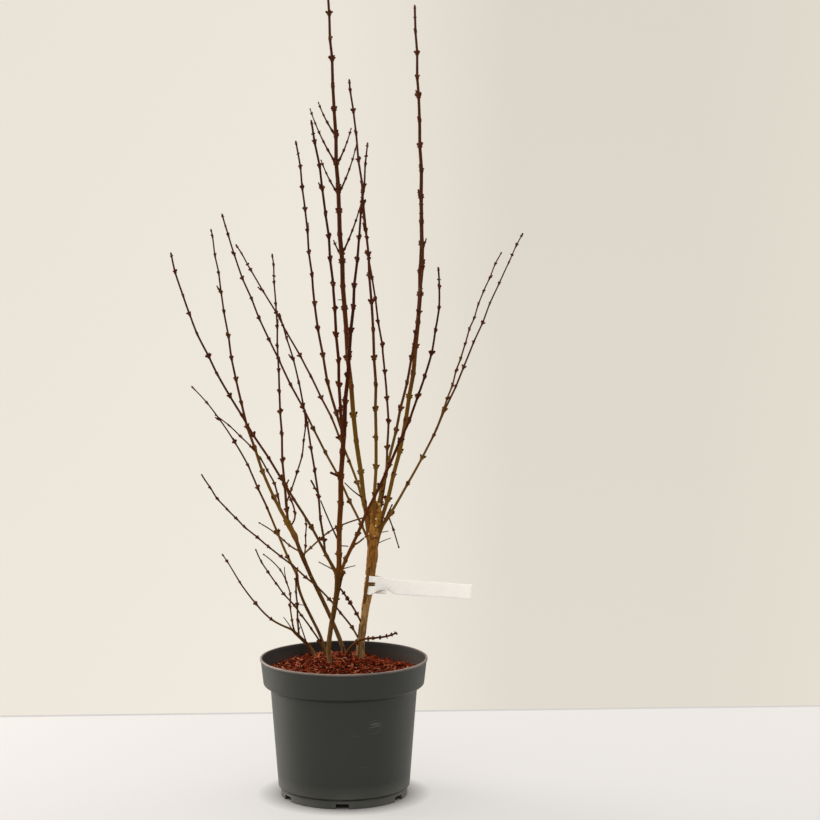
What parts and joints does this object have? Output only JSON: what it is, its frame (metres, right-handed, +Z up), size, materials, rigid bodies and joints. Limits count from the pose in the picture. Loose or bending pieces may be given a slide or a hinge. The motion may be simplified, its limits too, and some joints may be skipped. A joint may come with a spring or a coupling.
{
  "type": "potted border forsythia",
  "caption": "Bare winter shrub of long upright whips with buds in opposite pairs, planted in a round nursery pot with bark mulch and a blank tie-on tag.",
  "frame": {"origin": "middle of the pot's flat underside, on the pot's axis", "axes": "+Z up along the pot's axis, the plant's tallest direction; -Y towards the viewer of the picture; +X to the viewer's right"},
  "size_m": [0.5082, 0.4008, 1.2501],
  "materials": {
    "pot_plastic": "moulded polypropylene, charcoal, semi-matt",
    "bark_mulch": "loose red-brown bark chips over potting mix",
    "tag_film": "white synthetic label strip, blank, satin",
    "wood_tan": "older tan bark, ridged, matt",
    "wood_olive": "olive young bark with pale pores, matt",
    "wood_red_brown": "red-brown young bark, slightly glossy",
    "wood_maroon": "dark maroon young bark, slightly glossy",
    "twigs_olive": "twiggy ends, olive bark with brown buds",
    "twigs_red_brown": "twiggy ends, red-brown bark with brown buds",
    "twigs_maroon": "twiggy ends, dark maroon bark with brown buds"
  },
  "bodies": {
    "root": {"stem_front": "wood_tan", "stem_right": "wood_tan", "stem_back": "wood_tan", "stem_left": "wood_tan", "stem_far_left": "wood_tan", "whip_centre": "wood_maroon", "whip_front": "wood_maroon", "whip_right_front": "wood_maroon", "sprig_low_right": "wood_maroon", "shoot_stem_right": "wood_maroon", "whip_tallest": "wood_olive", "whip_mid_front": "wood_olive", "whip_right_tall": "wood_olive", "whip_right_inner": "wood_olive", "whip_right_wide": "wood_olive", "whip_right_fork": "wood_olive", "whip_left_back": "wood_olive", "whip_left_tall": "wood_olive", "whip_back_left": "wood_olive", "whip_low_left": "wood_olive", "shoot_inner_right": "wood_olive", "shoot_inner_left": "wood_olive", "shoot_head_right": "wood_olive", "shoot_front_right": "wood_olive", "whip_inner_left": "wood_red_brown", "whip_back": "wood_red_brown", "whip_left_wide": "wood_red_brown", "whip_back_upright": "wood_red_brown", "whip_front_left": "wood_red_brown", "whip_low_back": "wood_red_brown", "whip_low_front": "wood_red_brown", "shoot_mid": "wood_red_brown", "shoot_far_left": "wood_red_brown", "shoot_left_front": "wood_red_brown", "shoot_left_back": "wood_red_brown", "shoot_left_upright": "wood_red_brown", "shoot_back_side": "wood_red_brown", "shoot_inner_upright": "wood_red_brown", "shoot_hanging": "wood_red_brown", "twigs_centre": "twigs_maroon", "twigs_front": "twigs_maroon", "twigs_right_front": "twigs_maroon", "twigs_tallest": "twigs_olive", "twigs_mid_front": "twigs_olive", "twigs_right_tall": "twigs_olive", "twigs_right_inner": "twigs_olive", "twigs_right_wide": "twigs_olive", "twigs_left_back": "twigs_olive", "twigs_left_tall": "twigs_olive", "twigs_back_left": "twigs_olive", "twigs_low_left": "twigs_olive", "twigs_inner_left": "twigs_red_brown", "twigs_back": "twigs_red_brown", "twigs_left_wide": "twigs_red_brown", "twigs_back_upright": "twigs_red_brown", "twigs_front_left": "twigs_red_brown", "pot": "pot_plastic", "mulch": "bark_mulch", "tag": "tag_film"}
  },
  "joints": []
}
